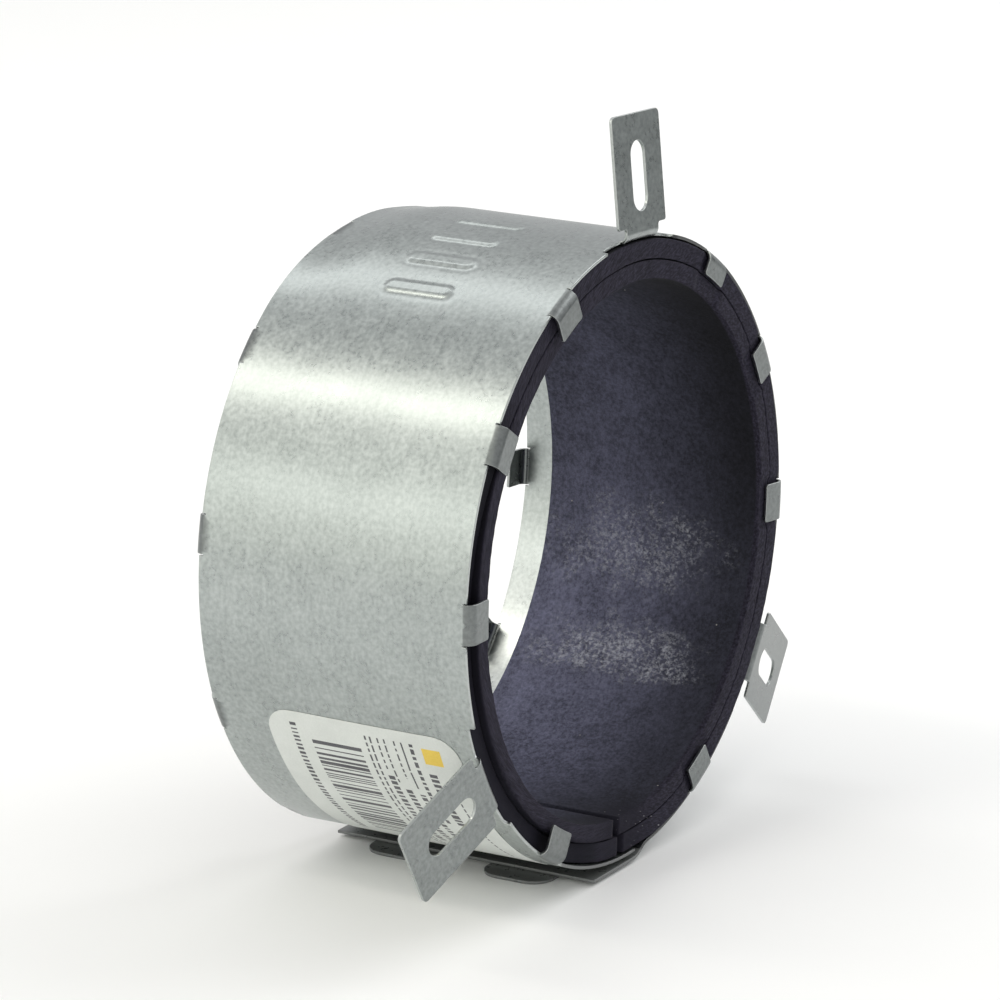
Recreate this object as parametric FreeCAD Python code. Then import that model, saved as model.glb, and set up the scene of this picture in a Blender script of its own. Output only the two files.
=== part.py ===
import FreeCAD, Part
import math
import os

os.makedirs("parts", exist_ok=True)

# Pipe fire collar: a ring folded from one strip of galvanised sheet, which holds
# a two-layer liner that swells in a fire and shuts a plastic pipe.
# Sizes are in millimetres and angles in degrees.
# X is the axis of the ring, and +X is the wall side, with the fixing lugs. Z is up.
# The origin is on the axis, in the plane of the wall side's cut rim.
# Angles about the axis are measured from +Y towards +Z, so 90 is the top.

# Strip and ring
SHEET = 0.7
RING_OUTER_RADIUS = 67.5
RING_LENGTH = 64.0

# Closure under the ring: the outer end of the strip steps outwards over the inner
# end and runs on as a flat flap. Two tongues of the inner end pass through slots
# in the step and are folded back under the flap.
INNER_END_ANGLE = 272.6
STEP_START_ANGLE = 277.5
STEP_BEND_RADIUS = 6.0
FLAP_GAP = 1.1
FLAP_EDGE_Y = -14.6
TONGUE_WIDTH = 16.3
TONGUE_SPACING = 28.8
TONGUE_TIP_Y = -20.5
TONGUE_CORNER_RADIUS = 5.0
TONGUE_GAP = 0.1
TONGUE_SLOT_CLEARANCE = 0.4
TONGUE_SLOT_LENGTH = 2.2

# Tabs bent inwards over the liner, one row on each rim
FRONT_TAB_ANGLES = [
    27.2, 57.0, 116.1, 146.9, 178.6, 240.0, 298.0, 356.3,
]
BACK_TAB_FIRST_ANGLE = -40.2
BACK_TAB_PITCH = 35.1
BACK_TAB_COUNT = 9
TAB_WIDTH = 8.5
BACK_TAB_WIDTH = 8.2
TAB_REACH = 7.1
TAB_BEND_RADIUS = 1.9
TAB_PROUD = 1.4
TAB_CORNER_RADIUS = 0.6
TAB_RELIEF_WIDTH = 0.25

# Fixing lugs bent outwards on the wall side. They lean back by hand-bent amounts.
LUG_ANGLES = [86.5, 210.4, 326.8]
LUG_LEANS = [7.0, 12.0, 13.0]
LUG_REACH = 25.7
LUG_WIDTH = 20.0
LUG_NECK_WIDTH = 13.4
LUG_NECK_LENGTH = 2.3
LUG_BEND_RADIUS = 1.5
LUG_CORNER_RADIUS = 1.3
LUG_RELIEF_WIDTH = 7.6
LUG_RELIEF_DEPTH = 1.5
LUG_SLOT_WIDTH = 6.0
LUG_SLOT_LENGTH = 14.6
LUG_SLOT_TIP_MARGIN = 5.7

# Pressed bars near the top, raised outwards
BAR_FIRST_ANGLE = 92.0
BAR_PITCH = 8.6
BAR_COUNT = 4
BAR_START_X = -41.0
BAR_LENGTH = 17.0
BAR_WIDTH = 4.6
BAR_HEIGHT = 0.6
BAR_WALL_WIDTH = 0.8

# Liner: two strips rolled inside the ring, each with a butt joint
LINER_GAP = 0.3
OUTER_LAYER_THICKNESS = 4.3
LAYER_GAP = 0.15
INNER_LAYER_THICKNESS = 4.05
LINER_FRONT_X = -0.3
LINER_LENGTH = 52.2
OUTER_LAYER_JOINT_ANGLE = 267.5
INNER_LAYER_JOINT_ANGLE = 265.5
LAYER_JOINT_WIDTH = 2.4

# Paper label stuck round the lower part of the ring
LABEL_THICKNESS = 0.1
LABEL_GLUE = 0.03
LABEL_START_X = -51.5
LABEL_LENGTH = 46.5
LABEL_FIRST_ANGLE = 201.5
LABEL_HEIGHT = 59.0
LABEL_CORNER_RADIUS = 6.0

# Values that follow from the sizes above
ring_middle_radius = RING_OUTER_RADIUS - SHEET / 2
ring_inner_radius = RING_OUTER_RADIUS - SHEET
back_x = -RING_LENGTH
flap_middle_z = -(RING_OUTER_RADIUS + FLAP_GAP + SHEET / 2)
tongue_middle_z = flap_middle_z - SHEET - TONGUE_GAP
lug_tip_radius = RING_OUTER_RADIUS + LUG_REACH
lug_neck_end_radius = RING_OUTER_RADIUS + LUG_NECK_LENGTH
outer_layer_radius = ring_inner_radius - LINER_GAP
inner_layer_radius = outer_layer_radius - OUTER_LAYER_THICKNESS - LAYER_GAP

# Half the length of the prisms that shape tabs and lugs, beyond both of them
prism_reach = LUG_REACH + TAB_REACH

X_AXIS = FreeCAD.Vector(1, 0, 0)
ORIGIN = FreeCAD.Vector(0, 0, 0)


def across(point):
    """A point (y, z) of the ring's cross section, in the plane x = 0."""
    return FreeCAD.Vector(0, point[0], point[1])


def lengthwise(point):
    """A point (x, radius) of a section along the axis, drawn at the top of the ring."""
    return FreeCAD.Vector(point[0], 0, point[1])


def polar(radius, angle):
    """The (y, z) point at a radius and an angle about the axis."""
    return (radius * math.cos(math.radians(angle)), radius * math.sin(math.radians(angle)))


def turned(shape, angle):
    """A copy of something drawn at the top of the ring, turned to an angle about the axis."""
    copy = shape.copy()
    copy.rotate(ORIGIN, X_AXIS, angle - 90)
    return copy


def bent_sheet(start, heading, moves, place):
    """Edge-on face of a bent sheet. It follows the middle of the sheet in moves of
    ("run", length) or ("bend", radius, turn), where a left turn is positive."""
    half = SHEET / 2
    left_edges = []
    right_edges = []
    point = start

    def beside(at, direction, offset):
        rad = math.radians(direction)
        return place((at[0] - offset * math.sin(rad), at[1] + offset * math.cos(rad)))

    first_cap = Part.LineSegment(beside(start, heading, half), beside(start, heading, -half))
    for move in moves:
        if move[0] == "run":
            rad = math.radians(heading)
            end = (point[0] + move[1] * math.cos(rad), point[1] + move[1] * math.sin(rad))
            for edges, offset in ((left_edges, half), (right_edges, -half)):
                line = Part.LineSegment(beside(point, heading, offset), beside(end, heading, offset))
                edges.append(line.toShape())
            point = end
            continue
        radius = math.copysign(move[1], move[2])
        rad = math.radians(heading)
        centre = (point[0] - radius * math.sin(rad), point[1] + radius * math.cos(rad))
        stops = []
        for share in (0, 0.5, 1):
            direction = heading + share * move[2]
            rad = math.radians(direction)
            at = (centre[0] + radius * math.sin(rad), centre[1] - radius * math.cos(rad))
            stops.append((at, direction))
        for edges, offset in ((left_edges, half), (right_edges, -half)):
            arc = Part.Arc(*[beside(at, direction, offset) for at, direction in stops])
            edges.append(arc.toShape())
        point, heading = stops[-1]
    last_cap = Part.LineSegment(beside(point, heading, half), beside(point, heading, -half))
    edges = left_edges + [last_cap.toShape()] + right_edges[::-1] + [first_cap.toShape()]
    return Part.Face(Part.Wire(Part.sortEdges(edges)[0]))


def rounded_outline(corners):
    """Face across the axis with corners (y, z, radius), where radius may be zero."""
    edges = []
    ends = []
    for index, (y, z, radius) in enumerate(corners):
        corner = across((y, z))
        before = across(corners[index - 1][:2]) - corner
        after = across(corners[(index + 1) % len(corners)][:2]) - corner
        before.normalize()
        after.normalize()
        if radius == 0:
            ends.append((corner, corner))
            continue
        half_angle = before.getAngle(after) / 2
        reach = radius / math.tan(half_angle)
        bisector = before + after
        bisector.normalize()
        middle = corner + bisector * (radius / math.sin(half_angle) - radius)
        arc = Part.Arc(corner + before * reach, middle, corner + after * reach)
        edges.append(arc.toShape())
        ends.append((corner + before * reach, corner + after * reach))
    for index in range(len(ends)):
        line = Part.LineSegment(ends[index - 1][1], ends[index][0])
        edges.append(line.toShape())
    return Part.Face(Part.Wire(Part.sortEdges(edges)[0]))


def prism(face, x_from, x_to):
    """A face drawn in the plane x = 0, swept along the axis between two places."""
    moved = face.copy()
    moved.translate(FreeCAD.Vector(x_from, 0, 0))
    return moved.extrude(FreeCAD.Vector(x_to - x_from, 0, 0))


def sector(section, width, radius):
    """A lengthwise section turned about the axis, wide enough for a width at a radius."""
    half_angle = math.degrees(width / radius)
    face = section.copy()
    face.rotate(ORIGIN, X_AXIS, -half_angle)
    return face.revolve(ORIGIN, X_AXIS, 2 * half_angle)


def pipe_wall(inner, outer, x_from, length):
    """A plain round wall about the axis."""
    start = FreeCAD.Vector(x_from, 0, 0)
    wall = Part.makeCylinder(outer, length, start, X_AXIS)
    return wall.cut(Part.makeCylinder(inner, length, start, X_AXIS))


def rectangle(width, bottom, top):
    """Plain outline at the top of the ring."""
    half = width / 2
    return rounded_outline([(-half, bottom, 0), (half, bottom, 0), (half, top, 0), (-half, top, 0)])


def step_turn():
    """Steepest slope of the step, from the height that it has to drop."""
    entry = STEP_START_ANGLE - 270
    drop = -ring_middle_radius * math.cos(math.radians(entry)) - flap_middle_z
    share = (1 + math.cos(math.radians(entry)) - drop / STEP_BEND_RADIUS) / 2
    return math.degrees(math.acos(share))


def strip_section():
    """The strip seen edge on, from its inner end round the ring to the flap's edge."""
    entry = STEP_START_ANGLE - 270
    steepest = step_turn()
    round_turn = 360 - (STEP_START_ANGLE - INNER_END_ANGLE)
    step_end_y = polar(ring_middle_radius, STEP_START_ANGLE)[0] - STEP_BEND_RADIUS * (
        2 * math.sin(math.radians(steepest)) - math.sin(math.radians(entry)))
    moves = [
        ("bend", ring_middle_radius, -round_turn),
        ("bend", STEP_BEND_RADIUS, steepest - entry),
        ("bend", STEP_BEND_RADIUS, -steepest),
        ("run", step_end_y - FLAP_EDGE_Y),
    ]
    start = polar(ring_middle_radius, INNER_END_ANGLE)
    return bent_sheet(start, INNER_END_ANGLE - 90, moves, across)


def tongue_slot(middle_x):
    """Cutter for the slot in the step that one tongue passes through."""
    width = TONGUE_WIDTH + 2 * TONGUE_SLOT_CLEARANCE
    inner_end_y = polar(ring_middle_radius, INNER_END_ANGLE)[0]
    top_z = -ring_inner_radius
    bottom_z = tongue_middle_z
    corner = FreeCAD.Vector(middle_x - width / 2, inner_end_y, bottom_z)
    return Part.makeBox(width, TONGUE_SLOT_LENGTH, top_z - bottom_z, corner)


def tongue(middle_x):
    """A tongue of the inner end, folded down and back under the flap."""
    start = polar(ring_middle_radius, INNER_END_ANGLE)
    rise = INNER_END_ANGLE - 270
    fold_radius = (start[1] - tongue_middle_z) / (1 + math.cos(math.radians(rise)))
    fold_end_y = start[0] + fold_radius * math.sin(math.radians(rise))
    moves = [
        ("bend", fold_radius, -(180 + rise)),
        ("run", fold_end_y - TONGUE_TIP_Y),
    ]
    face = bent_sheet(start, rise, moves, across)
    blade = prism(face, middle_x - TONGUE_WIDTH / 2, middle_x + TONGUE_WIDTH / 2)
    tip_corners = [
        edge for edge in blade.Edges
        if abs(edge.Length - SHEET) < 1e-6
        and abs(edge.CenterOfMass.y - TONGUE_TIP_Y) < 1e-6
        and abs(edge.CenterOfMass.z - tongue_middle_z) < 1e-6
    ]
    return blade.makeFillet(TONGUE_CORNER_RADIUS, tip_corners)


def tab(width):
    """A tab at the top of the front rim, bent inwards over the liner."""
    bend_x = TAB_PROUD - SHEET / 2 - TAB_BEND_RADIUS
    tip_radius = RING_OUTER_RADIUS - TAB_REACH
    straight = ring_middle_radius - TAB_BEND_RADIUS - tip_radius
    moves = [("bend", TAB_BEND_RADIUS, -90), ("run", straight)]
    section = bent_sheet((bend_x, ring_middle_radius), 0, moves, lengthwise)
    half = width / 2
    outline = rounded_outline([
        (-half, tip_radius, TAB_CORNER_RADIUS),
        (half, tip_radius, TAB_CORNER_RADIUS),
        (half, RING_OUTER_RADIUS + SHEET, 0),
        (-half, RING_OUTER_RADIUS + SHEET, 0),
    ])
    return sector(section, width, tip_radius).common(prism(outline, -prism_reach, prism_reach))


def tab_relief(width):
    """Cutter that frees the sheet beside a tab as far back as its bend."""
    bend_x = TAB_PROUD - SHEET / 2 - TAB_BEND_RADIUS
    outline = rectangle(
        width + 2 * TAB_RELIEF_WIDTH, ring_inner_radius - 2 * SHEET, RING_OUTER_RADIUS + SHEET)
    return prism(outline, bend_x, prism_reach)


def lug(lean):
    """A fixing lug at the top of the front rim, bent outwards and leaning back."""
    bend_x = -LUG_RELIEF_DEPTH
    rise = lug_tip_radius - ring_middle_radius
    moves = [("bend", LUG_BEND_RADIUS, 90 + lean), ("run", 2 * rise)]
    section = bent_sheet((bend_x, ring_middle_radius), 0, moves, lengthwise)
    plate = LUG_WIDTH / 2
    neck = LUG_NECK_WIDTH / 2
    neck_corner = min(LUG_CORNER_RADIUS, plate - neck) / 2
    root = ring_inner_radius - SHEET
    outline = rounded_outline([
        (-neck, root, 0),
        (neck, root, 0),
        (neck, lug_neck_end_radius, neck_corner),
        (plate, lug_neck_end_radius, neck_corner),
        (plate, lug_tip_radius, LUG_CORNER_RADIUS),
        (-plate, lug_tip_radius, LUG_CORNER_RADIUS),
        (-plate, lug_neck_end_radius, neck_corner),
        (-neck, lug_neck_end_radius, neck_corner),
    ])
    body = sector(section, LUG_WIDTH, ring_inner_radius)
    body = body.common(prism(outline, -prism_reach, prism_reach))
    return body.cut(lug_slot())


def lug_slot():
    """Cutter for a lug's slot, which runs outwards from the ring."""
    half = LUG_SLOT_WIDTH / 2
    reach = LUG_SLOT_LENGTH / 2 - half
    high = lug_tip_radius - LUG_SLOT_TIP_MARGIN - half
    low = high - 2 * reach
    edges = [
        Part.LineSegment(across((half, low)), across((half, high))).toShape(),
        Part.Arc(across((half, high)), across((0, high + half)), across((-half, high))).toShape(),
        Part.LineSegment(across((-half, high)), across((-half, low))).toShape(),
        Part.Arc(across((-half, low)), across((0, low - half)), across((half, low))).toShape(),
    ]
    return prism(Part.Face(Part.Wire(edges)), -prism_reach, prism_reach)


def lug_relief():
    """Cutter that frees the lug's neck and leaves a shallow notch on each side."""
    width = LUG_NECK_WIDTH + 2 * LUG_RELIEF_WIDTH
    outline = rectangle(width, ring_inner_radius - 2 * SHEET, RING_OUTER_RADIUS + SHEET)
    notch = prism(outline, -LUG_RELIEF_DEPTH, prism_reach)
    floor_corners = [
        edge for edge in notch.Edges
        if abs(edge.CenterOfMass.x + LUG_RELIEF_DEPTH) < 1e-6
        and abs(abs(edge.CenterOfMass.y) - width / 2) < 1e-6
    ]
    return notch.makeFillet(LUG_RELIEF_DEPTH * 0.6, floor_corners)


def pressed_bar(width, length, inner, outer):
    """A round-ended bar along the axis at the top of the ring, between two radii."""
    middle_x = BAR_START_X + BAR_LENGTH / 2
    half = width / 2
    reach = length / 2 - half
    low = FreeCAD.Vector(middle_x - reach, 0, inner - SHEET)
    high = FreeCAD.Vector(middle_x + reach, 0, inner - SHEET)
    height = outer - inner + 2 * SHEET
    upwards = FreeCAD.Vector(0, 0, 1)
    post = Part.makeBox(2 * reach, width, height, low - FreeCAD.Vector(0, half, 0))
    for end in (low, high):
        post = post.fuse(Part.makeCylinder(half, height, end, upwards))
    wall = pipe_wall(inner, outer, BAR_START_X - width, BAR_LENGTH + 2 * width)
    return post.common(wall).removeSplitter()


def mirrored_to_back(shape):
    """The same shape on the back rim."""
    return shape.mirror(FreeCAD.Vector(back_x / 2, 0, 0), X_AXIS)


def make_housing():
    """The folded strip with its tabs, lugs, pressed bars and closure."""
    strip = prism(strip_section(), back_x, 0)
    tongue_places = [back_x / 2 + side * TONGUE_SPACING / 2 for side in (-1, 1)]
    for middle_x in tongue_places:
        strip = strip.cut(tongue_slot(middle_x))
    bar_angles = [BAR_FIRST_ANGLE + index * BAR_PITCH for index in range(BAR_COUNT)]
    bar = pressed_bar(BAR_WIDTH, BAR_LENGTH, ring_middle_radius, RING_OUTER_RADIUS + BAR_HEIGHT)
    hollow_width = BAR_WIDTH - 2 * BAR_WALL_WIDTH
    hollow_length = BAR_LENGTH - 2 * BAR_WALL_WIDTH
    hollow = pressed_bar(
        hollow_width, hollow_length, ring_inner_radius - SHEET, ring_inner_radius + BAR_HEIGHT)
    front_tab = tab(TAB_WIDTH)
    back_tab = mirrored_to_back(tab(BACK_TAB_WIDTH))
    back_angles = [
        BACK_TAB_FIRST_ANGLE + index * BACK_TAB_PITCH for index in range(BACK_TAB_COUNT)
    ]
    cutters = [turned(tab_relief(TAB_WIDTH), angle) for angle in FRONT_TAB_ANGLES]
    cutters += [
        turned(mirrored_to_back(tab_relief(BACK_TAB_WIDTH)), angle) for angle in back_angles
    ]
    cutters += [turned(lug_relief(), angle) for angle in LUG_ANGLES]
    strip = strip.cut(cutters)
    added = [turned(front_tab, angle) for angle in FRONT_TAB_ANGLES]
    added += [turned(back_tab, angle) for angle in back_angles]
    added += [turned(lug(lean), angle) for angle, lean in zip(LUG_ANGLES, LUG_LEANS)]
    added += [turned(bar, angle) for angle in bar_angles]
    added += [tongue(middle_x) for middle_x in tongue_places]
    strip = strip.fuse(added)
    strip = strip.cut([turned(hollow, angle) for angle in bar_angles])
    return strip.removeSplitter()


def make_layer(outer, thickness, joint_angle):
    """One rolled strip of the liner, open at its butt joint."""
    inner = outer - thickness
    ring = pipe_wall(inner, outer, LINER_FRONT_X - LINER_LENGTH, LINER_LENGTH)
    gap = rectangle(LAYER_JOINT_WIDTH, inner - LAYER_JOINT_WIDTH, outer + LAYER_JOINT_WIDTH)
    gap = prism(gap, LINER_FRONT_X - 2 * LINER_LENGTH, LINER_FRONT_X + LINER_LENGTH)
    return ring.cut(turned(gap, joint_angle))


def label_corner(middle_x, x_side, angle_side):
    """Cutter at the top of the ring that rounds one corner of the label."""
    radius = LABEL_CORNER_RADIUS
    base_z = RING_OUTER_RADIUS - SHEET
    height = LABEL_THICKNESS + 2 * SHEET
    low = FreeCAD.Vector(min(0, x_side) * 2 * radius, min(0, -angle_side) * 2 * radius, 0)
    middle = FreeCAD.Vector(middle_x, 0, base_z)
    block = Part.makeBox(2 * radius, 2 * radius, height, middle + low)
    return block.cut(Part.makeCylinder(radius, height, middle, FreeCAD.Vector(0, 0, 1)))


def make_label():
    """A thin sheet with rounded corners, wrapped on the outside of the ring."""
    inner = RING_OUTER_RADIUS + LABEL_GLUE
    sweep = math.degrees(LABEL_HEIGHT / inner)
    low = FreeCAD.Vector(LABEL_START_X, 0, inner)
    section = Part.makePlane(
        LABEL_LENGTH, LABEL_THICKNESS, low, FreeCAD.Vector(0, -1, 0), X_AXIS)
    sheet = turned(section, LABEL_FIRST_ANGLE).revolve(ORIGIN, X_AXIS, sweep)
    corner_turn = math.degrees(LABEL_CORNER_RADIUS / inner)
    cutters = []
    for x_side in (-1, 1):
        edge_x = LABEL_START_X if x_side < 0 else LABEL_START_X + LABEL_LENGTH
        for angle_side in (-1, 1):
            edge_angle = LABEL_FIRST_ANGLE if angle_side < 0 else LABEL_FIRST_ANGLE + sweep
            corner = label_corner(edge_x - x_side * LABEL_CORNER_RADIUS, x_side, angle_side)
            cutters.append(turned(corner, edge_angle - angle_side * corner_turn))
    return sheet.cut(cutters)


def save(shape, node):
    """One STEP file for each piece, with its size as a check."""
    shape.exportStep("parts/" + node + ".step")
    print(node, "solids", len(shape.Solids), "volume", round(shape.Volume, 1), "valid", shape.isValid())


save(make_housing(), "housing")
save(make_layer(outer_layer_radius, OUTER_LAYER_THICKNESS, OUTER_LAYER_JOINT_ANGLE), "liner_outer")
save(make_layer(inner_layer_radius, INNER_LAYER_THICKNESS, INNER_LAYER_JOINT_ANGLE), "liner_inner")
save(make_label(), "label")
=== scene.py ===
import math

import bpy
import numpy as np
from mathutils import Matrix, Vector, noise
from mathutils.geometry import delaunay_2d_cdt


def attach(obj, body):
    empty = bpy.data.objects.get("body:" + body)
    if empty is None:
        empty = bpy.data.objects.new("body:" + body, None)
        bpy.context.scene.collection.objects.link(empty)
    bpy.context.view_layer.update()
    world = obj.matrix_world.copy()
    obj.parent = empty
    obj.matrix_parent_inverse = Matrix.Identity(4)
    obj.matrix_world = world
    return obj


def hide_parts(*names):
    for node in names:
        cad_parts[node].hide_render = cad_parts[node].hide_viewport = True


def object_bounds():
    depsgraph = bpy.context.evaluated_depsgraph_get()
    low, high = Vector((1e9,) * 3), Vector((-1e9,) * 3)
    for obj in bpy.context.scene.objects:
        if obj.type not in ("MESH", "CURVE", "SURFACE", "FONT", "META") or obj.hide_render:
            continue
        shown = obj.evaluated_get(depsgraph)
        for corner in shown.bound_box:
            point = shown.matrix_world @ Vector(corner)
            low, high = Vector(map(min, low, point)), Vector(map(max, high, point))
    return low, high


# Pipe fire collar. Every piece is one bent sheet or rolled strip, drawn flat in
# millimetres and then laid on the CAD part's own surfaces, in metres.
# Flat places are (u, v): u runs along the strip from its inner end, v is x.
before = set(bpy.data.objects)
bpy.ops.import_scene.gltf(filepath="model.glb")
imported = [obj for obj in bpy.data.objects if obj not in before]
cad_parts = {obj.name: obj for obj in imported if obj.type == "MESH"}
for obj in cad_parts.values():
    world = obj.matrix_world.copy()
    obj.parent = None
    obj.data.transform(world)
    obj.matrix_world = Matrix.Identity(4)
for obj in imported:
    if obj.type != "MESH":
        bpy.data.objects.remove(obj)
cad_low, cad_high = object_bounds()
MM = 0.001
random = np.random.default_rng(20)

# Sizes of the part, as its source has them
SHEET = 0.7
RING_OUTER_RADIUS = 67.5
RING_LENGTH = 64.0
INNER_END_ANGLE = 272.6
STEP_START_ANGLE = 277.5
STEP_BEND_RADIUS = 6.0
FLAP_GAP = 1.1
FLAP_EDGE_Y = -14.6
TONGUE_WIDTH = 16.3
TONGUE_SPACING = 28.8
TONGUE_TIP_Y = -20.5
TONGUE_CORNER_RADIUS = 5.0
TONGUE_GAP = 0.1
TONGUE_SLOT_CLEARANCE = 0.4
TONGUE_SLOT_LENGTH = 2.2
FRONT_TAB_ANGLES = [27.2, 57.0, 116.1, 146.9, 178.6, 240.0, 298.0, 356.3]
BACK_TAB_ANGLES = [-40.2 + 35.1 * index for index in range(9)]
TAB_WIDTH = 8.5
BACK_TAB_WIDTH = 8.2
TAB_REACH = 7.1
TAB_BEND_RADIUS = 1.9
TAB_PROUD = 1.4
TAB_CORNER_RADIUS = 0.6
TAB_RELIEF_WIDTH = 0.25
LUG_ANGLES = [86.5, 210.4, 326.8]
LUG_LEANS = [7.0, 12.0, 13.0]
LUG_REACH = 25.7
LUG_WIDTH = 20.0
LUG_NECK_WIDTH = 13.4
LUG_NECK_LENGTH = 2.3
LUG_BEND_RADIUS = 1.5
LUG_CORNER_RADIUS = 1.3
LUG_RELIEF_WIDTH = 7.6
LUG_RELIEF_DEPTH = 1.5
LUG_SLOT_WIDTH = 6.0
LUG_SLOT_LENGTH = 14.6
LUG_SLOT_TIP_MARGIN = 5.7
BAR_ANGLES = [92.0 + 8.6 * index for index in range(4)]
BAR_START_X = -41.0
BAR_LENGTH = 17.0
BAR_WIDTH = 4.6
BAR_HEIGHT = 0.6
OUTER_LAYER = (62.2, 66.5)
INNER_LAYER = (58.0, 62.05)
LINER_FRONT_X = -0.3
LINER_BACK_X = -52.5
OUTER_LAYER_JOINT_ANGLE = 267.5
INNER_LAYER_JOINT_ANGLE = 265.5
LAYER_JOINT_WIDTH = 2.4
LABEL_THICKNESS = 0.1
LABEL_GLUE = 0.03
LABEL_START_X = -51.5
LABEL_LENGTH = 46.5
LABEL_FIRST_ANGLE = 201.5
LABEL_HEIGHT = 59.0
LABEL_CORNER_RADIUS = 6.0

MIDDLE = RING_OUTER_RADIUS - SHEET / 2
FLAP_Z = -(RING_OUTER_RADIUS + FLAP_GAP + SHEET / 2)
TONGUE_Z = FLAP_Z - SHEET - TONGUE_GAP
BACK_X = -RING_LENGTH

# Looks that aren't in the part's source. Lengths are in millimetres and angles in degrees.
# A window has four values: where something starts, is full, is still full and ends.
EDGE_ROUND = 0.12
EDGE_SUPPORT = 0.32
TAB_EXTRA_BEND = 6.0
TAB_SHORTFALLS = {27.2: 0.7, 57.0: 1.7}
LUG_RUN = 40.0
WAVE_COUNT = 9
WAVE_END_FADE = (8, 30)
WAVE_RIM_FADE = (1.6, 7.0)
BACK_DENT = 1.6
DENT_WINDOW = (60, 82, 96, 128)
DENT_DEPTHS = (49, 64.5)
DENT_RIM_WIDTH = 0.8
BAR_SHOWN_HEIGHT = 0.65 * BAR_HEIGHT
BAR_FLANK = 1.45
BAR_GROOVE_DEPTH = 0.05
BAR_GROOVE_GAP = 0.5
BAR_GROOVE_WIDTH = 0.7
LINER_STEPS = 520
LINER_UNEVENNESS = 0.05
LINER_PROUD = 0.92
LINER_PROUD_ANGLES = ((58, 84), (268, 285))
LINER_HELD_BACK = 0.62
LINER_RECESS = 1.6
LINER_RECESS_WINDOW = (130, 180, 252, 262)
# Painted shade on the liner in its recess on the left and beside its joint
LINER_RECESS_SHADE = 0.75
LINER_JOINT_SHADE_WINDOW = (256, 264, 271, 281)
LINER_JOINT_SHADE = 0.8
RAGGED_DEPTH = 0.7
RAGGED_WINDOW = (185, 215, 250, 262)
LABEL_EDGE_ROUND = 0.03
LABEL_EDGE_SUPPORT = 0.25

# How dark the steel is painted: bare zinc 0, painted dark reflection on tabs and lugs 1, painted
# shade on the closure under the ring 2, deepest painted shade on the rim 3
TAB_TONE = 1.0
LUG_TONES = [0.48, 0.70, 1.0]
FLAP_TONE = 2.0
FLAP_EDGE_TONE = 2.3
# Painted shade on the rim's lower end and on its right
LOW_RIM_ANGLE = 244
LOW_RIM_TONE = 2.35
SHADED_RIM_ANGLE = 80
SHADED_RIM_TONE = 3.0

# Colours, from dark to light where there are two
ZINC = ((0.285, 0.312, 0.306, 1), (0.500, 0.535, 0.525, 1))
# Painted light: brighter zinc for the back rim's inside
BACK_RIM_LIT_ZINC = ((0.50, 0.53, 0.52, 1), (0.76, 0.79, 0.78, 1))
# Painted dark reflection on tabs and lugs
DARKENED_ZINC = ((0.138, 0.149, 0.149, 1), (0.258, 0.275, 0.273, 1))
CUT_EDGE = (0.56, 0.585, 0.575, 1)
# Painted shade on the closure under the ring and on the rim
UNDER_RING_SHADE = (0.190, 0.198, 0.198, 1)
RIM_SHADE = (0.060, 0.063, 0.064, 1)
LINER = ((0.018, 0.0185, 0.028, 1), (0.096, 0.098, 0.148, 1))
# Painted shade: the liner's front face is darker than its bore
SHADED_LINER_FRONT = ((0.0069, 0.0060, 0.0120, 1), (0.039, 0.0355, 0.057, 1))
LINER_SHADE = (0.0095, 0.0085, 0.0160, 1)
RUBBED = (0.43, 0.44, 0.49, 1)
SPECK = (0.30, 0.29, 0.28, 1)
CRUMB = (0.42, 0.42, 0.44, 1)
PAPER = ((0.60, 0.625, 0.60, 1), (0.67, 0.695, 0.67, 1))
INK = ((0.05, 0.05, 0.06, 1), (0.10, 0.10, 0.11, 1))
YELLOW = ((0.72, 0.50, 0.06, 1), (0.80, 0.58, 0.09, 1))
FLOOR = ((0.92, 0.925, 0.925, 1), (0.94, 0.94, 0.94, 1))
# Painted shade: the floor greys far off along the camera's right
SHADED_FAR_FLOOR = (0.30, 0.31, 0.31, 1)
ROOM = (0.70, 0.70, 0.70, 1)
ROOM_LEFT = (1.30, 1.30, 1.21, 1)
ROOM_RIGHT = (0.64, 0.64, 0.65, 1)

# Stage, in metres. The camera is the one fitted to the photograph.
FLOOR_HALF = 4
FLOOR_RIGHTWARDS = (0.862, 0.507, 0)
FLOOR_FADE = (0.22, 0.75)
CAMERA_LENS = 196.45
CAMERA_AT = (0.5356, -0.9631, 0.32305)
CAMERA_BACKWARDS = (0.48839, -0.82911, 0.27211)
CAMERA_RIGHTWARDS = (0.86163, 0.50754, 0.0)

# Rubbed patches on the liner's bore: place around and along, half length, half width, strength
RUBBED_PATCHES = [(-17.5, -30.0, 27.0, 13.5, 0.56), (-41.0, -29.0, 27.0, 9.5, 0.80)]

# Painted light and shade on the liner's bore: how it brightens with depth, its share at the front
# edge, and how it changes round the bore. Each change has a start, an end and the factors there.
BORE_LIGHT_DEPTHS = (-1.0, -38.0)
BORE_LIGHT_AT_FRONT = (-30.0, 25.0, 0.22, 0.11)
BORE_LIGHT_CHANGES = [
    (-36.0, 6.0, 1.75, 0.95), (10.0, 70.0, 1.0, 0.65), (195.0, 255.0, 1.0, 2.6),
    (-93.0, -68.0, 0.62, 1.08),
]

# Generic print on the label: a bar code between places down the label and between two x,
# and a swatch from place to place down the label and from x to x
BAR_CODE_DOWN = (7.0, 44)
BAR_CODE_X = (-41.5, -29.5)
SWATCH = (3.6, 8.0, -14.2, -9.8)

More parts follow.
